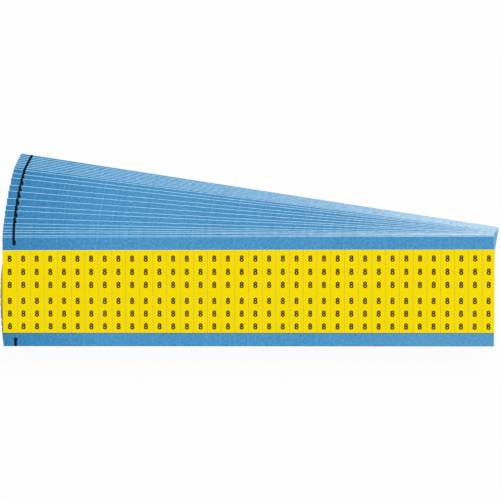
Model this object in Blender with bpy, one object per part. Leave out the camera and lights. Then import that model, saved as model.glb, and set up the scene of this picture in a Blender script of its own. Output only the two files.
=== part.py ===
"""Pack of wire marker cards, fanned out by hand and laid on a table.

Each card is a blue coated paper liner. A band of yellow cloth markers, cut side by side
down to the liner, is stuck along its middle and leaves a bare blue margin above and below.
The cards lie on one another and turn about a point past their right-hand ends.

Metres, +Z up. The top card lies along X. The origin is on the table, under the middle of
the bottom card.
"""

from math import pi, radians, sin

import bmesh
import bpy
from mathutils import Matrix, Vector

# Marker: one cloth strip, which is peeled off and wrapped round a wire
MARKER_COUNT = 36
MARKER_PITCH = 0.00635
MARKER_LENGTH = 0.0381
MARKER_THICKNESS = 0.00024
ADHESIVE_THICKNESS = 0.00003

# Cuts: the blade is a wedge, so a cut is wide at the markers' face and narrow at its root
CUT_WIDTH = 0.00012
CUT_ROOT_WIDTH = 0.00004
CUT_WEB = 0.00002
BAND_EDGE_SLOPE = 0.0003

# Trim: the card is cut out a little off the markers' grid
LEFT_MARKER_SPARE = 0.0003
RIGHT_MARKER_TRIM = 0.00065
BAND_SHIFT = 0.0002

# Liner: the coated paper card, its long edges sheared to slopes that run out to its underside
LINER_THICKNESS = 0.00018
LINER_MARGIN = 0.00635
LINER_EDGE_SLOPE = 0.00016
LINER_EDGE_DEPTH = 0.0001

# Pack: the cards lie on one another with a film of air between them
CARD_COUNT = 24
CARD_GAP = 0.00005

# Fan: the turn of each card from the top one, in degrees. The upper cards were spread by
# hand and the squeezed ones below close up evenly to the last.
PIVOT_BEYOND_END = 0.0173
PIVOT_ABOVE_CENTRE = 0.0031
HAND_SPREAD = (
    0.0, 0.05, 0.4, 0.65, 1.0, 1.4, 2.0, 2.8, 3.35, 4.15, 4.95, 5.6, 6.4, 6.9, 7.4, 7.65,
)
LAST_TURN = 9.05

# Slip: the cards in the middle slid out to the left, all but the top one slid up, and the
# squeezed ones went on sliding up
SLIP_LEFT = 0.001
SLIP_UP = 0.00075
SQUEEZED_SLIP_UP = 0.00057

# Sizes that follow
CARD_LENGTH = MARKER_COUNT * MARKER_PITCH + LEFT_MARKER_SPARE - RIGHT_MARKER_TRIM
CARD_WIDTH = MARKER_LENGTH + 2 * LINER_MARGIN
BAND_FOOT = MARKER_LENGTH + 2 * BAND_EDGE_SLOPE
BAND_HEIGHT = ADHESIVE_THICKNESS + MARKER_THICKNESS
CARD_HEIGHT = LINER_THICKNESS + BAND_HEIGHT
CARD_STEP = CARD_HEIGHT + CARD_GAP


def clear_scene():
    for old in list(bpy.data.objects):
        bpy.data.objects.remove(old)


def make_material(name, color, roughness):
    material = bpy.data.materials.new(name)
    material.use_nodes = True
    shader = material.node_tree.nodes["Principled BSDF"]
    shader.inputs["Base Color"].default_value = (*color, 1.0)
    shader.inputs["Roughness"].default_value = roughness
    shader.inputs["Metallic"].default_value = 0.0
    return material


def grid_x(steps):
    """Where a place on the markers' grid, counted in markers from the left, lies on the card."""
    return steps * MARKER_PITCH + LEFT_MARKER_SPARE - CARD_LENGTH / 2


def add_block(bm, length, width, height):
    """A box on z = 0, centred on the origin in X and Y."""
    verts = bmesh.ops.create_cube(bm, size=1.0)["verts"]
    bmesh.ops.scale(bm, verts=verts, vec=(length, width, height))
    bmesh.ops.translate(bm, verts=verts, vec=(0.0, 0.0, height / 2))


def face_at(bm, x, y):
    """The highest upward face whose outline, seen from above, holds the point."""
    def holds(face):
        xs = [vert.co.x for vert in face.verts]
        ys = [vert.co.y for vert in face.verts]
        return min(xs) < x < max(xs) and min(ys) < y < max(ys)

    upward = [face for face in bm.faces if face.normal.z > 0.9 and holds(face)]
    return max(upward, key=lambda face: face.calc_center_median().z)


def cut_face(bm, face, point, normal):
    """Divide one face along a plane and return the new edges of the cut."""
    region = [face, *face.edges, *face.verts]
    cut = bmesh.ops.bisect_plane(bm, geom=region, plane_co=point, plane_no=normal)["geom_cut"]
    return [item for item in cut if isinstance(item, bmesh.types.BMEdge)]


def cut_along(bm, y):
    """Divide the card's face from end to end."""
    cut_face(bm, face_at(bm, 0.0, 0.0), (0.0, y, 0.0), (0.0, 1.0, 0.0))


def cut_across(bm, x):
    """Divide the part of the card's face that the line crosses and return the new edges."""
    return cut_face(bm, face_at(bm, x, 0.0), (x, 0.0, 0.0), (1.0, 0.0, 0.0))


def scale_band(bm, verts, factor):
    """Lengthen or shorten markers about the middle of the band."""
    about_band = Matrix.Translation((0.0, -BAND_SHIFT, 0.0))
    bmesh.ops.scale(bm, verts=verts, vec=(1.0, factor, 1.0), space=about_band)


def liner_bmesh():
    """The bare liner, on z = 0, its two long top edges sheared to slopes."""
    bm = bmesh.new()
    add_block(bm, CARD_LENGTH, CARD_WIDTH, LINER_THICKNESS)
    bm.normal_update()
    brink = CARD_WIDTH / 2 - LINER_EDGE_SLOPE
    cut_along(bm, -brink)
    cut_along(bm, brink)
    upper = [vert for vert in bm.verts if vert.co.z > LINER_THICKNESS / 2]
    rim = [vert for vert in upper if abs(vert.co.y) > brink + LINER_EDGE_SLOPE / 2]
    bmesh.ops.translate(bm, verts=rim, vec=(0.0, 0.0, -LINER_EDGE_DEPTH))
    bm.normal_update()
    return bm


def raise_band(bm):
    """Raise the marker band from the liner's face, its two long sides sloped by the blade."""
    cut_along(bm, BAND_SHIFT - BAND_FOOT / 2)
    cut_along(bm, BAND_SHIFT + BAND_FOOT / 2)
    seat = face_at(bm, 0.0, 0.0)
    raised = bmesh.ops.extrude_face_region(bm, geom=[seat])["geom"]
    verts = [item for item in raised if isinstance(item, bmesh.types.BMVert)]
    bmesh.ops.delete(bm, geom=[seat], context="FACES_ONLY")
    bmesh.ops.translate(bm, verts=verts, vec=(0.0, 0.0, BAND_HEIGHT))
    scale_band(bm, verts, MARKER_LENGTH / BAND_FOOT)
    bm.normal_update()


def cut_markers_apart(bm):
    """Press a wedge-shaped cut between each two markers of a raised band."""
    root_drop = Vector((0.0, 0.0, CUT_WEB - BAND_HEIGHT))
    root_length = BAND_FOOT - 2 * BAND_EDGE_SLOPE * CUT_WEB / BAND_HEIGHT
    for index in range(1, MARKER_COUNT):
        x = grid_x(index)
        cut_across(bm, x - CUT_WIDTH / 2)
        cut_across(bm, x + CUT_WIDTH / 2)
        root = cut_across(bm, x)
        verts = list({vert for edge in root for vert in edge.verts})
        bmesh.ops.translate(bm, verts=verts, vec=root_drop)
        scale_band(bm, verts, root_length / MARKER_LENGTH)


def finish_mesh(bm, name, *materials):
    bmesh.ops.recalc_face_normals(bm, faces=bm.faces)
    mesh = bpy.data.meshes.new(name)
    bm.to_mesh(mesh)
    bm.free()
    for material in materials:
        mesh.materials.append(material)
    return mesh


def liner_mesh(blue):
    return finish_mesh(liner_bmesh(), "liner", blue)


def full_card_mesh(blue, yellow):
    """Liner and markers of a lower card in one solid."""
    bm = liner_bmesh()
    raise_band(bm)
    cut_markers_apart(bm)
    for face in bm.faces:
        face.material_index = int(face.calc_center_median().z > LINER_THICKNESS)
    return finish_mesh(bm, "full_card", blue, yellow)


def marker_mesh(yellow):
    """One loose marker on z = 0; the blade leaves all four sides sloped."""
    bm = bmesh.new()
    width = MARKER_PITCH - CUT_ROOT_WIDTH
    add_block(bm, width, BAND_FOOT, MARKER_THICKNESS)
    crown = [vert for vert in bm.verts if vert.co.z > MARKER_THICKNESS / 2]
    narrower = (MARKER_PITCH - CUT_WIDTH) / width
    shorter = MARKER_LENGTH / BAND_FOOT
    bmesh.ops.scale(bm, verts=crown, vec=(narrower, shorter, 1.0))
    return finish_mesh(bm, "marker", yellow)


def end_marker_mesh(yellow, end_x):
    """The marker at an end of the card, sheared off square with the liner at end_x."""
    mesh = marker_mesh(yellow)
    mesh.name = "end_marker"
    for vert in mesh.vertices:
        if vert.co.x * end_x > 0:
            vert.co.x = end_x
    return mesh


def squeezed_share(index):
    """0 for the cards that were spread by hand, then evenly up to 1 for the bottom card."""
    return max(index - len(HAND_SPREAD) + 1, 0) / (CARD_COUNT - len(HAND_SPREAD))


def turn_of(index):
    """How far a card is turned clockwise in the fan; the top card is index 0."""
    by_hand = HAND_SPREAD[min(index, len(HAND_SPREAD) - 1)]
    return radians(by_hand + squeezed_share(index) * (LAST_TURN - HAND_SPREAD[-1]))


def slip_of(index):
    """How far a card slid, in its own axes."""
    left = SLIP_LEFT * sin(pi * index / (CARD_COUNT - 1))
    up = SLIP_UP + SQUEEZED_SLIP_UP * squeezed_share(index) if index > 0 else 0.0
    return Vector((-left, up, 0.0))


def place_in_fan(index):
    """The card's place with the top card's middle at the origin and the table at z = 0."""
    pivot = Vector((CARD_LENGTH / 2 + PIVOT_BEYOND_END, PIVOT_ABOVE_CENTRE, 0.0))
    height = Vector((0.0, 0.0, (CARD_COUNT - 1 - index) * CARD_STEP))
    turn = Matrix.Rotation(-turn_of(index), 4, "Z")
    return Matrix.Translation(pivot + height) @ turn @ Matrix.Translation(slip_of(index) - pivot)


def card_place(index):
    """The card's place with the bottom card's middle over the origin."""
    bottom = place_in_fan(CARD_COUNT - 1).translation
    return Matrix.Translation((-bottom.x, -bottom.y, 0.0)) @ place_in_fan(index)


def add_piece(name, mesh, place=None, parent=None):
    piece = bpy.data.objects.new(name, mesh)
    bpy.context.scene.collection.objects.link(piece)
    piece.parent = parent
    if place is not None:
        piece.matrix_local = place
    return piece


def build_top_card(blue, yellow):
    holder = add_piece("top_card", None, card_place(0))
    add_piece("top_liner", liner_mesh(blue), parent=holder)
    middle = marker_mesh(yellow)
    left_end = end_marker_mesh(yellow, -MARKER_PITCH / 2 - LEFT_MARKER_SPARE)
    right_end = end_marker_mesh(yellow, MARKER_PITCH / 2 - RIGHT_MARKER_TRIM)
    meshes = [left_end] + [middle] * (MARKER_COUNT - 2) + [right_end]
    for index, mesh in enumerate(meshes):
        seat = (grid_x(index + 0.5), BAND_SHIFT, LINER_THICKNESS + ADHESIVE_THICKNESS)
        add_piece(f"marker_{index + 1:02d}", mesh, Matrix.Translation(seat), holder)


def build_lower_cards(blue, yellow):
    mesh = full_card_mesh(blue, yellow)
    for index in range(1, CARD_COUNT):
        add_piece(f"card_{index + 1:02d}", mesh, card_place(index))


def build_pack():
    clear_scene()
    blue = make_material("blue_coated_paper", (0.072, 0.296, 0.565), 0.55)
    yellow = make_material("yellow_cloth", (0.913, 0.708, 0.004), 0.6)
    build_top_card(blue, yellow)
    build_lower_cards(blue, yellow)


build_pack()
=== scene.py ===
"""Looks of a fanned pack of wire marker cards, laid on a pale table and seen from above.

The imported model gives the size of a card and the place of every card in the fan. Each card is
built once in its own frame, x along it, y across it and z = 0 at its underside, and is then
put where its solid lies.
"""

from math import acos, atan2, cos, pi, radians, sin, sqrt

import bmesh
import bpy
from mathutils import Euler, Matrix, Vector


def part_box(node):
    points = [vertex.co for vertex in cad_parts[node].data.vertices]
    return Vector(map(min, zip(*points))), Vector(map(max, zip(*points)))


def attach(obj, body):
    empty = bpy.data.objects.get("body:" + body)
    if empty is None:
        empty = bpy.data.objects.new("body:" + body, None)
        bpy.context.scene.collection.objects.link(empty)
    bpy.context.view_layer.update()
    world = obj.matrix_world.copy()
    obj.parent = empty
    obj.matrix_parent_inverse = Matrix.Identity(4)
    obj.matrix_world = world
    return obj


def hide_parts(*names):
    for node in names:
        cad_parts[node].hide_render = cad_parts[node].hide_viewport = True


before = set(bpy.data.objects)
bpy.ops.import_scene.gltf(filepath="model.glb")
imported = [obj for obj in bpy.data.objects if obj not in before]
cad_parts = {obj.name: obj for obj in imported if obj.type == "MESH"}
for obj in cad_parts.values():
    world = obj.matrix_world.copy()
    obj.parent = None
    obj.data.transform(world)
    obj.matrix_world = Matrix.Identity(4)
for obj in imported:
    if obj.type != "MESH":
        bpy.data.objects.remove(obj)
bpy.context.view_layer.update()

UP = Vector((0.0, 0.0, 1.0))
ACROSS = Vector((0.0, 1.0, 0.0))

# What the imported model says
LOWER_CARDS = sorted(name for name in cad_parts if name.startswith("card_"))
MARKERS = sorted(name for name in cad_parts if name.startswith("marker_"))
LINER_LOW, LINER_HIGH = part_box("top_liner")
MARKER_LOW, MARKER_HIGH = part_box(MARKERS[1])
CARD_MIDDLE = (LINER_LOW + LINER_HIGH) / 2
CARD_LENGTH = LINER_HIGH.x - LINER_LOW.x
CARD_WIDTH = LINER_HIGH.y - LINER_LOW.y
LINER_THICKNESS = LINER_HIGH.z - LINER_LOW.z
CARD_HEIGHT = MARKER_HIGH.z - LINER_LOW.z
ADHESIVE_TOP = MARKER_LOW.z - LINER_LOW.z
BAND_WIDTH = MARKER_HIGH.y - MARKER_LOW.y
BAND_MIDDLE = (MARKER_LOW.y + MARKER_HIGH.y) / 2 - CARD_MIDDLE.y
MARKER_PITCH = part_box(MARKERS[2])[0].x - MARKER_LOW.x
CUT_ROOT = MARKER_PITCH - (MARKER_HIGH.x - MARKER_LOW.x)
GRID_START = MARKER_LOW.x - CUT_ROOT / 2 - MARKER_PITCH - CARD_MIDDLE.x

# Liner: long edges that slope out to the underside and the small round where they start. The
# top card's are steeper, and its far edge lies a little further out.
LINER_EDGE_SLOPE = 0.00024
TOP_LINER_EDGE_SLOPE = 0.0002
TOP_LINER_SPARE = 0.00026
LINER_EDGE_DEPTH = 0.0001
LINER_EDGE_ROUND = 0.00003

# Marker: cloth with a coat on its face; the wedge-shaped blade narrows it towards the face.
# At its far end the foot has drawn back a little, and the slope grows shorter from the card's
# first marker to its last. On a lower card the last marker stops short of the card's end.
CUT_WIDTH = 0.00012
FAR_FOOT_INSET = 0.00008
FIRST_FAR_SLOPE = 0.00024
LAST_FAR_SLOPE = 0.0001
NEAR_END_SLOPE = 0.00005
LOWER_BAND_TRIM = 0.0004
CLOTH_COAT = 0.00006
CLOTH_ROUND = 0.00003

# Print: films of ink, which reach a little way into what they are printed on
INK_FILM = 0.000006
INK_SINK = 0.000003

# Digits on a marker: where their rows lie across the card and how far left of the marker's middle
# they are. The print lies a little askew, its columns leaning and its rows falling by these
# shares. The columns sway left and right in a wave, which is furthest left at the start marker,
# counted from 0, and so many markers long.
DIGIT_ROWS = (0.01545, 0.00931, 0.00325, -0.0042, -0.01015, -0.01608)
DIGIT_SHIFT = 0.00006
DIGIT_LEAN = 0.0024
DIGIT_FALL = 0.0006
DIGIT_SWAY = 0.00014
SWAY_START = 2
SWAY_LENGTH = 38

# The digit 8: two stacked loops that meet at a waist, given by half their widths and heights,
# and the width of the stroke at their sides and at their tops. Below come the steps round a loop
# and round an eye, and how close two points have to lie to be made one.
DIGIT_WAIST = 0.00066
LOWER_LOOP = Vector((0.001, 0.00091))
UPPER_LOOP = Vector((0.00091, 0.00086))
DIGIT_STROKE = Vector((0.00071, 0.00054))
LOOP_STEPS = 10
EYE_STEPS = 8
TOUCHING = 0.0000001

# Registration marks: a bar in from each long edge that ends in an oval eyelet. The eyelet's
# middle is given from the card's end and from the edge, and the bar's two sides from the
# eyelet's middle. The eyelet at the far edge has a hole. Down the first so many lower cards the
# marks drift to the left and back.
FAR_EYE = Vector((0.00548, 0.00248))
FAR_EYE_RADII = Vector((0.00083, 0.00142))
FAR_BAR = (-0.00082, 0.00034)
EYE_HOLE = Vector((0.00012, 0.00022))
EYE_HOLE_SHIFT = Vector((0.0001, -0.0003))
NEAR_EYE = Vector((0.0058, 0.00313))
NEAR_EYE_RADII = Vector((0.00088, 0.00102))
NEAR_BAR = (-0.00072, 0.00056)
MARK_DRIFT = 0.00036
DRIFTED_CARDS = 16

# Fan: the bottom cards lie turned a little less than their solids, the last one by this many
# degrees, about a point that is given from a card's far left corner
EASED_CARDS = 9
EASED_TURN = 0.112
EASED_PIVOT = Vector((0.0056, -0.0353))

# The blue coat: how far in from the left end it is deeper, as painted shading, and from the right
# end it is paler, between which places along the card the painted sheen grows, and how far in
# from the far edge it reaches
DEEPER_END = 0.05
PALE_END = 0.0007
SHEEN_GROWS = (0.02, 0.09)
SHEEN_RIM = 0.0014

# Scores that run on from the cuts, a little to their left, and the threads of the cloth
SCORE_WIDTH = 0.00032
SCORE_SHIFT = 0.00026
THREAD_PITCH = 0.00034

# The map of a card's meshes, in metres from the card's middle, and where the looks of what a
# cut lays open and of what lies lowest stand among a mesh's materials
CARD_MAP = "card"
CUT_LOOK = 1
LOWER_LOOK = 2

# Camera, from the top card's middle, and its turn in degrees
CAMERA_PLACE = Vector((0.01542, 0.0392, 0.560))
CAMERA_TURN = (-2.025, 1.444, -0.128)
CAMERA_LENS = 87.09

# Light: a soft key from the far side and a little from the right, over an even white surround
KEY_HEADING = 28.0
KEY_ELEVATION = 42.0
KEY_DISTANCE = 4.4
KEY_SIZE = 2.0
KEY_LEVEL = 0.52
SURROUND_LEVEL = 0.5
FLOOR_SIZE = 6.0
FLOOR_WHITENESS = 0.94


def srgb(red, green, blue):
    """A screen colour, 0 to 255 a channel, as Blender's linear colour."""
    def linear(value):
        share = value / 255
        return share / 12.92 if share <= 0.04045 else ((share + 0.055) / 1.055) ** 2.4

    return (linear(red), linear(green), linear(blue), 1.0)


class Wire:
    """A node's output. Arithmetic on it adds Math nodes."""

    def __init__(self, wiring, socket):
        self.wiring = wiring
        self.socket = socket

    def math(self, operation, first, second=0.0):
        return self.wiring.node("ShaderNodeMath", {"operation": operation}, {0: first, 1: second})

    def __add__(self, other):
        return self.math("ADD", self, other)

    def __radd__(self, other):
        return self.math("ADD", other, self)

    def __sub__(self, other):
        return self.math("SUBTRACT", self, other)

    def __rsub__(self, other):
        return self.math("SUBTRACT", other, self)

    def __mul__(self, other):
        return self.math("MULTIPLY", self, other)

    def __rmul__(self, other):
        return self.math("MULTIPLY", other, self)

    def __abs__(self):
        return self.math("ABSOLUTE", self)

    def sine(self):
        return self.math("SINE", self)

    def or_greater(self, other):
        return self.math("MAXIMUM", self, other)

    def from_nearest(self, step):
        """How far the value lies from the nearest whole number of steps."""
        return self.math("PINGPONG", self, step / 2)


class Wiring:
    """A node tree, and the one way to add nodes to it."""

    def __init__(self, tree):
        self.tree = tree

    def plug(self, socket, value):
        """Link a wire to a socket, or set the socket to a plain value."""
        if isinstance(value, Wire):
            self.tree.links.new(value.socket, socket)
        else:
            socket.default_value = value

    def node(self, kind, settings=None, inputs=None, output=0):
        """Add a node: its settings first, then the values or wires of its inputs."""
        node = self.tree.nodes.new(kind)
        for name, value in (settings or {}).items():
            setattr(node, name, value)
        for socket, value in (inputs or {}).items():
            self.plug(node.inputs[socket], value)
        return Wire(self, node.outputs[output])


class Finish(Wiring):
    """A material with a Principled shader."""

    def __init__(self, name, constants=None):
        self.material = bpy.data.materials.new(name)
        self.material.use_nodes = True
        super().__init__(self.material.node_tree)
        self.shader = self.tree.nodes["Principled BSDF"]
        for socket, value in (constants or {}).items():
            self.set(socket, value)

    def set(self, socket, value):
        """Give the shader a constant or a wire."""
        self.plug(self.shader.inputs[socket], value)

    def card_point(self):
        """Where a point lies on its card, in metres from the card's middle."""
        return self.node("ShaderNodeUVMap", {"uv_map": CARD_MAP})

    def object_point(self):
        return self.node("ShaderNodeTexCoord", output="Object")

    def axis(self, point, letter):
        return self.node("ShaderNodeSeparateXYZ", inputs={0: point}, output=letter)

    def stretched(self, point, factors):
        return self.node("ShaderNodeVectorMath", {"operation": "MULTIPLY"}, {0: point, 1: factors})

    def noise(self, point, grain, detail=3.0):
        """Soft noise from 0 to 1 whose patches are about one grain wide."""
        inputs = {"Vector": point, "Scale": 1 / grain, "Detail": detail, "Roughness": 0.6}
        return self.node("ShaderNodeTexNoise", None, inputs)

    def rise(self, value, low, high):
        """0 below low, 1 above high and a smooth rise between."""
        inputs = {"Value": value, "From Min": low, "From Max": high}
        return self.node("ShaderNodeMapRange", {"interpolation_type": "SMOOTHSTEP"}, inputs)

    def mix(self, share, first, second):
        """A colour between two colours."""
        inputs = {"Factor": share, 6: first, 7: second}
        return self.node("ShaderNodeMix", {"data_type": "RGBA"}, inputs, output=2)

    def bump(self, height, depth):
        """Relief of the given depth in metres where height runs from 0 to 1."""
        inputs = {"Height": height, "Distance": depth}
        self.set("Normal", self.node("ShaderNodeBump", None, inputs))


def blue_coated_paper():
    """Printed face of a liner: mottled blue, deeper towards the left end as painted shading, and
    paler towards the near right corner as painted sheen, on lower cards also along the far edge
    there, and paler at the very end.
    Where a cut runs on there is a faint score, pressed in more at some places than at others."""
    finish = Finish("blue_coated_paper", {"Specular IOR Level": 0.2})
    point = finish.card_point()
    along = finish.axis(point, "X")
    across = finish.axis(point, "Y")
    height = finish.axis(finish.object_point(), "Z")

    mottle = finish.noise(point, 0.0011)
    fibres = finish.noise(finish.stretched(point, (0.22, 1.0, 1.0)), 0.00035)
    cloud = finish.noise(point, 0.03, 2.0)
    tone = finish.rise(mottle * 0.5 + fibres * 0.4 + cloud * 0.1, 0.37, 0.63)
    from_end = along + CARD_LENGTH / 2
    # Painted shading: the blue is deeper towards the left end, standing in for the sheen of the
    # light that grows towards the right.
    deep = finish.mix(tone, srgb(31, 113, 168), srgb(61, 138, 189))
    full = finish.mix(tone, srgb(54, 133, 186), srgb(84, 158, 206))
    blue = finish.mix(finish.rise(from_end, -0.01, DEEPER_END), deep, full)

    from_cut = (along - GRID_START + SCORE_SHIFT).from_nearest(MARKER_PITCH)
    pressure = finish.noise(finish.stretched(finish.object_point(), (1.0, 1.0, 30.0)), 0.008, 2.0)
    groove = 1 - finish.rise(from_cut, SCORE_WIDTH / 4, SCORE_WIDTH / 2)
    score = groove * finish.rise(pressure, 0.3, 0.7)

    # Paler over the last bit of the card's right end.
    pale_end = finish.rise(from_end, CARD_LENGTH - PALE_END, CARD_LENGTH)
    # Painted sheen: paler towards the near right corner, and on lower cards along the far edge
    # there.
    sheen_share = finish.rise(along, *SHEEN_GROWS)
    rim = finish.rise(across, CARD_WIDTH / 2 - SHEEN_RIM, CARD_WIDTH / 2 - LINER_EDGE_SLOPE)
    lower = 1 - finish.rise(height, LINER_LOW.z - CARD_HEIGHT / 2, LINER_LOW.z)
    painted_sheen = sheen_share * (0.05 - across * 2) + rim * sheen_share * lower * 0.3
    paler = score * 0.25 + pale_end * 0.6 + painted_sheen
    finish.set("Base Color", finish.mix(paler, blue, srgb(150, 198, 228)))
    finish.set("Roughness", 0.42 + tone * 0.12)
    finish.bump(fibres * 0.6 + mottle * 0.4 - score * 0.5, 0.00002)
    return finish.material


def paper_core():
    """White paper between the coats, where the liner is cut, pale blue, its tone changing from the
    left end to the right end as painted shading."""
    finish = Finish("paper_core", {"Specular IOR Level": 0.3})
    fibres = finish.noise(finish.stretched(finish.object_point(), (0.09, 1.0, 8.0)), 0.0003)
    tone = finish.rise(fibres, 0.38, 0.62)
    along = finish.axis(finish.card_point(), "X")
    # Painted shading: the core's tone changes along the card from the left end to the right.
    core_left_end = finish.mix(tone, srgb(138, 192, 224), srgb(174, 218, 243))
    core_right_end = finish.mix(tone, srgb(140, 180, 210), srgb(200, 224, 240))
    share = finish.rise(along, -CARD_LENGTH / 2, CARD_LENGTH / 2)
    finish.set("Base Color", finish.mix(share, core_left_end, core_right_end))
    finish.set("Roughness", 0.75 + tone * 0.15)
    finish.bump(fibres, 0.00002)
    return finish.material


def liner_back():
    """Plain uncoated underside of the liner."""
    finish = Finish("liner_back", {"Specular IOR Level": 0.3})
    point = finish.card_point()
    fibres = finish.noise(finish.stretched(point, (0.3, 1.0, 1.0)), 0.0006)
    cloud = finish.noise(point, 0.012, 2.0)
    tone = finish.rise(fibres * 0.6 + cloud * 0.4, 0.35, 0.65)
    finish.set("Base Color", finish.mix(tone, srgb(222, 220, 212), srgb(238, 236, 229)))
    finish.set("Roughness", 0.7 + tone * 0.15)
    finish.bump(fibres, 0.000025)
    return finish.material


def weave_relief(finish, point):
    """Plain weave, 0 to 1: a thread goes over at every second crossing and under at the rest."""
    across_warp = finish.axis(point, "X") * (pi / THREAD_PITCH)
    across_weft = finish.axis(point, "Y") * (pi / THREAD_PITCH)
    warp_over = finish.rise(across_warp.sine() * across_weft.sine(), -0.4, 0.4)
    warp = abs(across_warp.sine())
    weft = abs(across_weft.sine())
    return warp * warp_over + weft * (1 - warp_over)


def yellow_cloth():
    """Face of a marker: yellow vinyl coat that follows the weave of the cloth under it."""
    finish = Finish("yellow_cloth", {"Specular IOR Level": 0.04})
    point = finish.card_point()
    weave = weave_relief(finish, point)
    cloud = finish.noise(point, 0.004, 3.0)
    speck = finish.noise(point, 0.0007, 2.0)
    tone = finish.rise(cloud * 0.2 + speck * 0.6 + weave * 0.2, 0.3, 0.7)
    finish.set("Base Color", finish.mix(tone, srgb(240, 210, 0), srgb(251, 228, 2)))
    finish.set("Roughness", 0.48 + weave * 0.12)
    finish.bump(weave * 0.8 + speck * 0.2, 0.000018)
    return finish.material


def cut_cloth():
    """Threads of the cloth where the blade went through, with slack white ends."""
    finish = Finish("cut_cloth", {"Specular IOR Level": 0.25})
    threads = finish.noise(finish.stretched(finish.object_point(), (1.0, 1.0, 0.4)), 0.00012)
    tone = finish.rise(threads, 0.35, 0.65)
    finish.set("Base Color", finish.mix(tone, srgb(212, 196, 148), srgb(236, 230, 204)))
    finish.set("Roughness", 0.8 + tone * 0.1)
    finish.bump(threads, 0.00002)
    return finish.material


def adhesive_film():
    """Pale tacky film that holds a marker to its liner."""
    finish = Finish("adhesive_film")
    cloud = finish.noise(finish.object_point(), 0.0008)
    finish.set("Base Color", finish.mix(cloud, srgb(226, 214, 176), srgb(240, 232, 204)))
    finish.set("Roughness", 0.25 + cloud * 0.15)
    finish.bump(cloud, 0.000005)
    return finish.material


def printed_ink(name, thin, full):
    """Matt print, in one colour where it is thin and another where it covers."""
    finish = Finish(name, {"Specular IOR Level": 0.06})
    cover = finish.rise(finish.noise(finish.object_point(), 0.0003), 0.3, 0.7)
    finish.set("Base Color", finish.mix(cover, thin, full))
    finish.set("Roughness", 0.5 + cover * 0.15)
    finish.bump(cover, 0.000003)
    return finish.material


def box_matrix(low, high):
    """Turns a cube of size 1 on the origin into the box between two corners."""
    size = high - low
    return Matrix.Translation((low + high) / 2) @ Matrix.Diagonal((*size, 1.0))


def cut_at(bm, level, normal):
    """Give a mesh edges where a plane crosses it, so far from the origin along its normal."""
    geometry = [*bm.verts, *bm.edges, *bm.faces]
    bmesh.ops.bisect_plane(bm, geom=geometry, plane_co=normal * level, plane_no=normal)


def as_mesh(bm, name, materials=()):
    """Turn a bmesh into a mesh with its materials, and free it."""
    mesh = bpy.data.meshes.new(name)
    bm.to_mesh(mesh)
    bm.free()
    for material in materials:
        mesh.materials.append(material)
    return mesh


def finished_mesh(bm, name, materials):
    """A mesh in the card's frame, its map in metres from the card's middle."""
    bmesh.ops.recalc_face_normals(bm, faces=bm.faces)
    card_map = bm.loops.layers.uv.new(CARD_MAP)
    for face in bm.faces:
        for loop in face.loops:
            loop[card_map].uv = loop.vert.co.xy
    return as_mesh(bm, name, materials)


def add_piece(name, mesh, place, slot, *nodes):
    """Put a copy of a card's mesh where the card lies, as a piece of the pack."""
    placed = mesh.copy()
    placed.name = name
    placed.transform(place)
    piece = bpy.data.objects.new(name, placed)
    bpy.context.scene.collection.objects.link(piece)
    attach(piece, "root")
    if nodes:
        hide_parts(*nodes)


def card_place(node):
    """Where a card lies. Its turn follows from its box, which grows as the rectangle turns."""
    low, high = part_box(node)
    size = high - low
    turn = atan2(
        CARD_LENGTH * size.y - CARD_WIDTH * size.x,
        CARD_LENGTH * size.x - CARD_WIDTH * size.y,
    )
    middle = (low + high) / 2
    return Matrix.Translation((middle.x, middle.y, low.z)) @ Matrix.Rotation(-turn, 4, "Z")


def eased(index):
    """How one of the lower cards, counted from 0, lies in the place of its solid."""
    share = max(0.0, (index + 1 - len(LOWER_CARDS)) / EASED_CARDS + 1)
    pivot = Vector((-CARD_LENGTH / 2, CARD_WIDTH / 2)) + EASED_PIVOT
    moved = Matrix.Translation((pivot.x, pivot.y, 0.0))
    return moved @ Matrix.Rotation(radians(EASED_TURN) * share, 4, "Z") @ moved.inverted()


def move_far_edge(bm, spare):
    """Move a card's far edge outwards, with the slope that leads down to it."""
    rim = [vert for vert in bm.verts if vert.co.y > CARD_WIDTH / 2 - 2 * LINER_EDGE_SLOPE]
    bmesh.ops.translate(bm, verts=rim, vec=(0.0, spare, 0.0))


def liner_mesh(slope, spare, coat, core, back):
    """Bare liner. Its far edge is sheared open to the core; over the near one the coat rolls."""
    bm = bmesh.new()
    corner = Vector((CARD_LENGTH / 2, CARD_WIDTH / 2, 0.0))
    box = box_matrix(-corner, corner + UP * LINER_THICKNESS)
    bmesh.ops.create_cube(bm, size=1.0, matrix=box)
    brink = CARD_WIDTH / 2 - slope
    for side in (-brink, brink):
        cut_at(bm, side, ACROSS)
    upper = [vert for vert in bm.verts if vert.co.z > LINER_THICKNESS / 2]
    rim = [vert for vert in upper if abs(vert.co.y) > brink + slope / 2]
    bmesh.ops.translate(bm, verts=rim, vec=-UP * LINER_EDGE_DEPTH)
    kept = set(upper) - set(rim)
    creases = [
        edge for edge in bm.edges
        if kept.issuperset(edge.verts) and edge.verts[0].co.y * edge.verts[1].co.y > 0
    ]
    bmesh.ops.bevel(
        bm, geom=creases, offset=LINER_EDGE_ROUND, affect="EDGES", segments=2, profile=0.5,
        material=-1,
    )
    bm.normal_update()
    for item in bm.faces:
        underside = item.normal.z < -0.5
        upright = abs(item.normal.z) < 0.1
        sheared = item.normal.z < 0.97 and item.normal.y > 0
        if underside:
            item.material_index = LOWER_LOOK
        elif upright or sheared:
            item.material_index = CUT_LOOK
    move_far_edge(bm, spare)
    return finished_mesh(bm, "liner", (coat, core, back))


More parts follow.
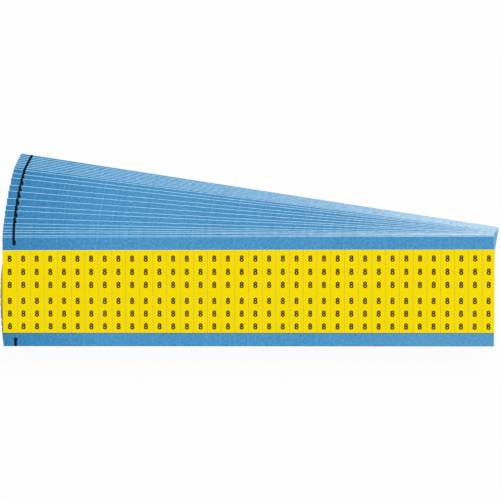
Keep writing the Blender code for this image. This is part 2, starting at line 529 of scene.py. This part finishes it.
def marker_mesh(index, trim, coat, cloth, adhesive):
    """One marker with its adhesive, in its place on the card. The trim is how far the last one
    stops short of the card's end."""
    first = index == 0
    last = index == len(MARKERS) - 1
    left = -CARD_LENGTH / 2 if first else GRID_START + index * MARKER_PITCH + CUT_ROOT / 2
    right = CARD_LENGTH / 2 - trim
    if not last:
        right = GRID_START + (index + 1) * MARKER_PITCH - CUT_ROOT / 2
    lean = (CUT_WIDTH - CUT_ROOT) / 2
    far_slope = FIRST_FAR_SLOPE + (LAST_FAR_SLOPE - FIRST_FAR_SLOPE) * index / (len(MARKERS) - 1)
    top = CARD_HEIGHT - INK_FILM
    bm = bmesh.new()
    low = Vector((left, BAND_MIDDLE - BAND_WIDTH / 2, LINER_THICKNESS))
    high = Vector((right, BAND_MIDDLE + BAND_WIDTH / 2 - FAR_FOOT_INSET, top))
    bmesh.ops.create_cube(bm, size=1.0, matrix=box_matrix(low, high))
    for vert in bm.verts:
        if vert.co.z > ADHESIVE_TOP:
            vert.co.y -= far_slope if vert.co.y > 0 else -NEAR_END_SLOPE
            if vert.co.x < left + lean and not first:
                vert.co.x += lean
            elif vert.co.x > right - lean and not last:
                vert.co.x -= lean
    for level in (ADHESIVE_TOP, top - CLOTH_COAT):
        cut_at(bm, level, UP)
    bm.normal_update()
    face = max(bm.faces, key=lambda item: item.calc_center_median().z)
    bmesh.ops.bevel(
        bm, geom=list(face.edges), offset=CLOTH_ROUND, affect="EDGES", segments=2,
        profile=0.5, material=-1,
    )
    for item in bm.faces:
        height = item.calc_center_median().z
        near_end = item.normal.y < -0.5
        if height < ADHESIVE_TOP:
            item.material_index = LOWER_LOOK
        elif height < top - CLOTH_COAT and not near_end:
            item.material_index = CUT_LOOK
    return finished_mesh(bm, f"marker_{index}", (coat, cloth, adhesive))


def add_arc(bm, centre, radii, start, sweep, steps):
    """Sweep a point round an oval, from one angle through another, and return its points."""
    first = bmesh.ops.create_vert(bm, co=(cos(start), sin(start), 0.0))["vert"]
    known = set(bm.verts) - set(first)
    bmesh.ops.spin(
        bm, geom=first, cent=(0.0, 0.0, 0.0), axis=UP, angle=sweep, steps=steps,
        use_merge=False, use_duplicate=False,
    )
    swept = [vert for vert in bm.verts if vert not in known]
    bmesh.ops.scale(bm, verts=swept, vec=(radii.x, radii.y, 1.0))
    bmesh.ops.translate(bm, verts=swept, vec=(centre.x, centre.y, 0.0))
    return swept


def add_eye(bm, centre, radii):
    """A closed oval outline, for a hole in a print."""
    verts = bmesh.ops.create_circle(bm, cap_ends=False, radius=1.0, segments=EYE_STEPS)["verts"]
    bmesh.ops.scale(bm, verts=verts, vec=(radii.x, radii.y, 1.0))
    bmesh.ops.translate(bm, verts=verts, vec=(centre.x, centre.y, 0.0))


def fill_film(bm):
    """Fill the outlines, with their holes, and raise them to a thin film of ink."""
    bmesh.ops.triangle_fill(bm, use_beauty=True, use_dissolve=False, edges=bm.edges, normal=UP)
    sheet = list(bm.faces)
    raised = bmesh.ops.extrude_face_region(bm, geom=sheet, use_keep_orig=True)["geom"]
    upper = [item for item in raised if isinstance(item, bmesh.types.BMVert)]
    bmesh.ops.translate(bm, verts=upper, vec=UP * (INK_FILM + INK_SINK))
    bmesh.ops.translate(bm, verts=bm.verts, vec=-UP * INK_SINK)


def digit_mesh(ink):
    """The digit 8 on z = 0, its waist at y = 0 before it is centred."""
    bm = bmesh.new()
    centres = []
    for loop, side in ((LOWER_LOOP, -1.0), (UPPER_LOOP, 1.0)):
        reach = DIGIT_WAIST / loop.x
        rise = sqrt(1.0 - reach * reach)
        centre = Vector((0.0, side * rise * loop.y))
        centres.append(centre)
        start = atan2(-side * rise, reach)
        sweep = side * (pi + 2 * atan2(rise, reach))
        add_arc(bm, centre, loop, start, sweep, LOOP_STEPS)
    bmesh.ops.remove_doubles(bm, verts=bm.verts, dist=TOUCHING)
    for loop, centre in zip((LOWER_LOOP, UPPER_LOOP), centres):
        add_eye(bm, centre, loop - DIGIT_STROKE)
    fill_film(bm)
    foot = centres[0].y - LOWER_LOOP.y
    head = centres[1].y + UPPER_LOOP.y
    bmesh.ops.translate(bm, verts=bm.verts, vec=(0.0, -(foot + head) / 2, 0.0))
    return finished_mesh(bm, "digit", (ink,))


def column_of_digits(index, digit):
    """The digits of one marker, down its length."""
    sway = DIGIT_SWAY * cos(2 * pi * (index - SWAY_START) / SWAY_LENGTH)
    middle = GRID_START + (index + 0.5) * MARKER_PITCH - DIGIT_SHIFT - sway
    bm = bmesh.new()
    for row in DIGIT_ROWS:
        known = len(bm.verts)
        bm.from_mesh(digit)
        bm.verts.ensure_lookup_table()
        askew = Vector((row * DIGIT_LEAN, -middle * DIGIT_FALL, 0.0))
        place = Vector((middle, row, CARD_HEIGHT - INK_FILM)) + askew
        bmesh.ops.translate(bm, verts=bm.verts[known:], vec=place)
    return as_mesh(bm, "column_of_digits", digit.materials)


def outline_mark(bm, eye, radii, bar):
    """Eyelet and bar in one outline, at a far edge: round the eyelet, then out and back along
    the bar, whose sides are given from the eyelet's middle."""
    edge = CARD_WIDTH / 2
    centre = Vector((eye.x - CARD_LENGTH / 2, edge - eye.y))
    turns = [acos(side / radii.x) for side in bar]
    arc = add_arc(bm, centre, radii, turns[1], turns[0] - turns[1] - 2 * pi, 2 * LOOP_STEPS)
    ends = sorted((vert for vert in arc if len(vert.link_edges) == 1), key=lambda vert: vert.co.x)
    corners = [
        bmesh.ops.create_vert(bm, co=(centre.x + side, edge, 0.0))["vert"][0] for side in bar
    ]
    for pair in ((ends[0], corners[0]), corners, (corners[1], ends[1])):
        bm.edges.new(pair)
    return centre


def lay_on_edge(bm, slope):
    """Let the print follow the liner's sloping edge down to where it is cut."""
    brink = CARD_WIDTH / 2 - slope
    cut_at(bm, brink, ACROSS)
    for vert in bm.verts:
        past = vert.co.y - brink
        if past > 0:
            vert.co.z -= past * LINER_EDGE_DEPTH / slope


def edge_mark(slope, eye, radii, bar, hole=None):
    """One registration mark, at a far edge."""
    bm = bmesh.new()
    centre = outline_mark(bm, eye, radii, bar)
    if hole:
        add_eye(bm, centre + EYE_HOLE_SHIFT, hole)
    fill_film(bm)
    lay_on_edge(bm, slope)
    return as_mesh(bm, "edge_mark")


def marks_mesh(slope, spare, ink):
    """Both registration marks of a card, on the liner's face."""
    bm = bmesh.new()
    bm.from_mesh(edge_mark(slope, NEAR_EYE, NEAR_EYE_RADII, NEAR_BAR))
    bmesh.ops.scale(bm, verts=bm.verts, vec=(1.0, -1.0, 1.0))
    bm.from_mesh(edge_mark(slope, FAR_EYE, FAR_EYE_RADII, FAR_BAR, EYE_HOLE))
    move_far_edge(bm, spare)
    bmesh.ops.translate(bm, verts=bm.verts, vec=UP * LINER_THICKNESS)
    return finished_mesh(bm, "registration_marks", (ink,))


def band_mesh(markers):
    """All the markers of a lower card as one mesh."""
    bm = bmesh.new()
    for marker in markers:
        bm.from_mesh(marker)
    return as_mesh(bm, "band", markers[0].materials)


def build_top_card(papers, markers, digit, ink):
    """The top card, on which each marker is a piece of its own."""
    liner = liner_mesh(TOP_LINER_EDGE_SLOPE, TOP_LINER_SPARE, *papers)
    marks = marks_mesh(TOP_LINER_EDGE_SLOPE, TOP_LINER_SPARE, ink)
    place = card_place("top_liner")
    add_piece("liner_sheet_01", liner, place, "liner_paper", "top_liner")
    add_piece("registration_marks_01", marks, place, "black_ink")
    for index, node in enumerate(MARKERS):
        number = f"{index + 1:02d}"
        digits = column_of_digits(index, digit)
        add_piece(f"cloth_marker_{number}", markers[index], place, "marker_cloth", node)
        add_piece(f"digits_{number}", digits, place, "black_ink")


def build_lower_cards(papers, band, ink):
    """The cards under the top one, all of one shape."""
    liner = liner_mesh(LINER_EDGE_SLOPE, 0.0, *papers)
    marks = marks_mesh(LINER_EDGE_SLOPE, 0.0, ink)
    for index, node in enumerate(LOWER_CARDS):
        number = node.removeprefix("card_")
        place = card_place(node) @ eased(index)
        drift = MARK_DRIFT * sin(pi * min(index / DRIFTED_CARDS, 1.0))
        printed = place @ Matrix.Translation((-drift, 0.0, 0.0))
        add_piece(f"liner_sheet_{number}", liner, place, "liner_paper", node)
        add_piece(f"marker_band_{number}", band, place, "marker_cloth", node)
        add_piece(f"registration_marks_{number}", marks, printed, "black_ink")


def build_pack():
    papers = (blue_coated_paper(), paper_core(), liner_back())
    cloth = (yellow_cloth(), cut_cloth(), adhesive_film())
    digit = digit_mesh(printed_ink("digit_ink", srgb(52, 36, 22), srgb(28, 19, 15)))
    mark_ink = printed_ink("mark_ink", srgb(8, 12, 22), srgb(2, 3, 8))
    markers = [marker_mesh(index, 0.0, *cloth) for index in range(len(MARKERS))]
    short_marker = marker_mesh(len(MARKERS) - 1, LOWER_BAND_TRIM, *cloth)
    build_top_card(papers, markers, digit, mark_ink)
    build_lower_cards(papers, band_mesh([*markers[:-1], short_marker]), mark_ink)


def white_to_camera(wiring, shader, share):
    """Show a share of a shader as plain white to the camera, and in gloss and glass."""
    kinds = ("Is Camera Ray", "Is Glossy Ray", "Is Transmission Ray")
    camera, gloss, glass = (wiring.node("ShaderNodeLightPath", output=kind) for kind in kinds)
    seen = camera.or_greater(gloss).or_greater(glass)
    own = Wire(wiring, shader.outputs[0])
    white = wiring.node("ShaderNodeEmission")
    return wiring.node("ShaderNodeMixShader", None, {0: seen * share, 1: own, 2: white})


def build_floor():
    finish = Finish("table_white", {"Base Color": (0.85, 0.85, 0.85, 1.0), "Roughness": 0.9})
    surface = finish.tree.nodes["Material Output"].inputs["Surface"]
    finish.plug(surface, white_to_camera(finish, finish.shader, FLOOR_WHITENESS))
    bm = bmesh.new()
    bmesh.ops.create_grid(bm, x_segments=1, y_segments=1, size=FLOOR_SIZE / 2)
    mesh = as_mesh(bm, "table_top", (finish.material,))
    floor = bpy.data.objects.new("table_top", mesh)
    bpy.context.scene.collection.objects.link(floor)


def build_surround():
    world = bpy.data.worlds.new("white_surround")
    world.use_nodes = True
    wiring = Wiring(world.node_tree)
    background = wiring.tree.nodes["Background"]
    wiring.plug(background.inputs["Color"], (1.0, 1.0, 1.0, 1.0))
    wiring.plug(background.inputs["Strength"], SURROUND_LEVEL)
    surface = wiring.tree.nodes["World Output"].inputs["Surface"]
    wiring.plug(surface, white_to_camera(wiring, background, 1.0))
    bpy.context.scene.world = world


def build_key_light(target):
    """A square soft light whose power gives a flat white face the wanted level."""
    heading = radians(KEY_HEADING)
    elevation = radians(KEY_ELEVATION)
    flat = cos(elevation)
    towards = Vector((sin(heading) * flat, cos(heading) * flat, sin(elevation)))
    light = bpy.data.lights.new("key", "AREA")
    light.shape = "SQUARE"
    light.size = KEY_SIZE
    light.energy = KEY_LEVEL * pi * pi * KEY_DISTANCE ** 2 / sin(elevation)
    lamp = bpy.data.objects.new("key", light)
    bpy.context.scene.collection.objects.link(lamp)
    lamp.location = target + towards * KEY_DISTANCE
    lamp.rotation_euler = towards.to_track_quat("Z", "Y").to_euler()


def build_camera(target):
    camera = bpy.data.cameras.new("camera")
    camera.sensor_width = 36.0
    camera.lens = CAMERA_LENS
    camera.clip_start = 0.01
    eye = bpy.data.objects.new("camera", camera)
    bpy.context.scene.collection.objects.link(eye)
    eye.location = target + CAMERA_PLACE
    eye.rotation_euler = Euler([radians(turn) for turn in CAMERA_TURN])
    bpy.context.scene.camera = eye


def build_scene():
    target = Vector((CARD_MIDDLE.x, CARD_MIDDLE.y, LINER_LOW.z + CARD_HEIGHT))
    build_camera(target)
    build_pack()
    build_floor()
    build_surround()
    build_key_light(target)
    bpy.context.scene.view_settings.view_transform = "Standard"


build_scene()
